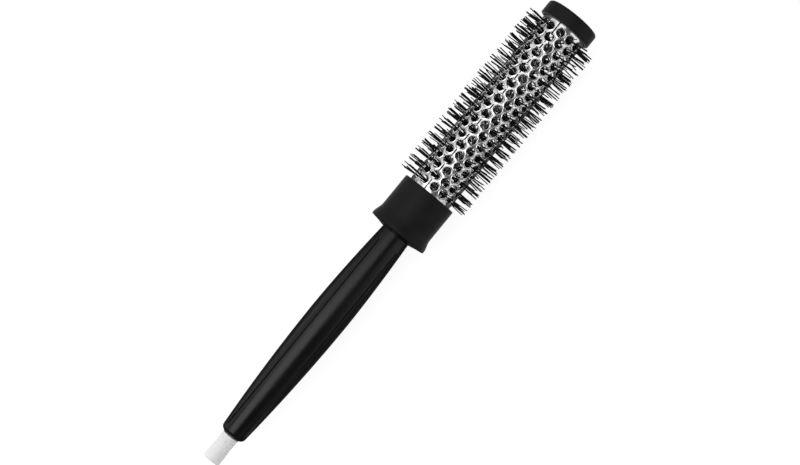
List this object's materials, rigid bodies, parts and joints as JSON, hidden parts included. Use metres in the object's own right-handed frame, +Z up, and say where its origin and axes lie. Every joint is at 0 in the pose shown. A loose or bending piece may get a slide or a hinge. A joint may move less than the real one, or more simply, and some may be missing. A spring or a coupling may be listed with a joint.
{
  "type": "round barrel brush",
  "caption": "Round hair-styling brush: perforated metal barrel with nylon bristles on a twisted wire core, a slim handle, and a sectioning pick that pulls out of the handle's end.",
  "frame": {"origin": "under the middle of the brush's length, at the height of the lowest bristle tips", "axes": "+X along the brush towards its end cap, +Z up through the middle of a tuft in every other ring"},
  "size_m": [0.2644, 0.0378, 0.038],
  "materials": {
    "handle_plastic": "semi-gloss black moulded plastic",
    "soft_touch": "matte black soft-touch plastic",
    "aluminium": "bright rolled perforated sheet",
    "nylon": "black nylon filament",
    "steel_wire": "bright drawn wire",
    "white_plastic": "satin white moulded plastic"
  },
  "bodies": {
    "brush": {"handle": "handle_plastic", "collar": "soft_touch", "core_hub": "handle_plastic", "barrel": "aluminium", "end_cap": "soft_touch", "core_wire_a": "steel_wire", "core_wire_b": "steel_wire", "bristle_ring_01": "nylon", "bristle_ring_02": "nylon", "bristle_ring_03": "nylon", "bristle_ring_04": "nylon", "bristle_ring_05": "nylon", "bristle_ring_06": "nylon", "bristle_ring_07": "nylon", "bristle_ring_08": "nylon", "bristle_ring_09": "nylon", "bristle_ring_10": "nylon", "bristle_ring_11": "nylon", "bristle_ring_12": "nylon", "bristle_ring_13": "nylon", "bristle_ring_14": "nylon", "bristle_ring_15": "nylon", "bristle_ring_16": "nylon", "bristle_ring_17": "nylon", "bristle_ring_18": "nylon", "bristle_ring_19": "nylon", "bristle_ring_20": "nylon", "bristle_ring_21": "nylon"},
    "pick": {"sectioning_pick": "white_plastic"}
  },
  "joints": [
    {"name": "pick_slide", "type": "slide", "parent": "brush", "child": "pick", "axis": [-1, 0, 0], "range_m": [0, 0.078]}
  ]
}
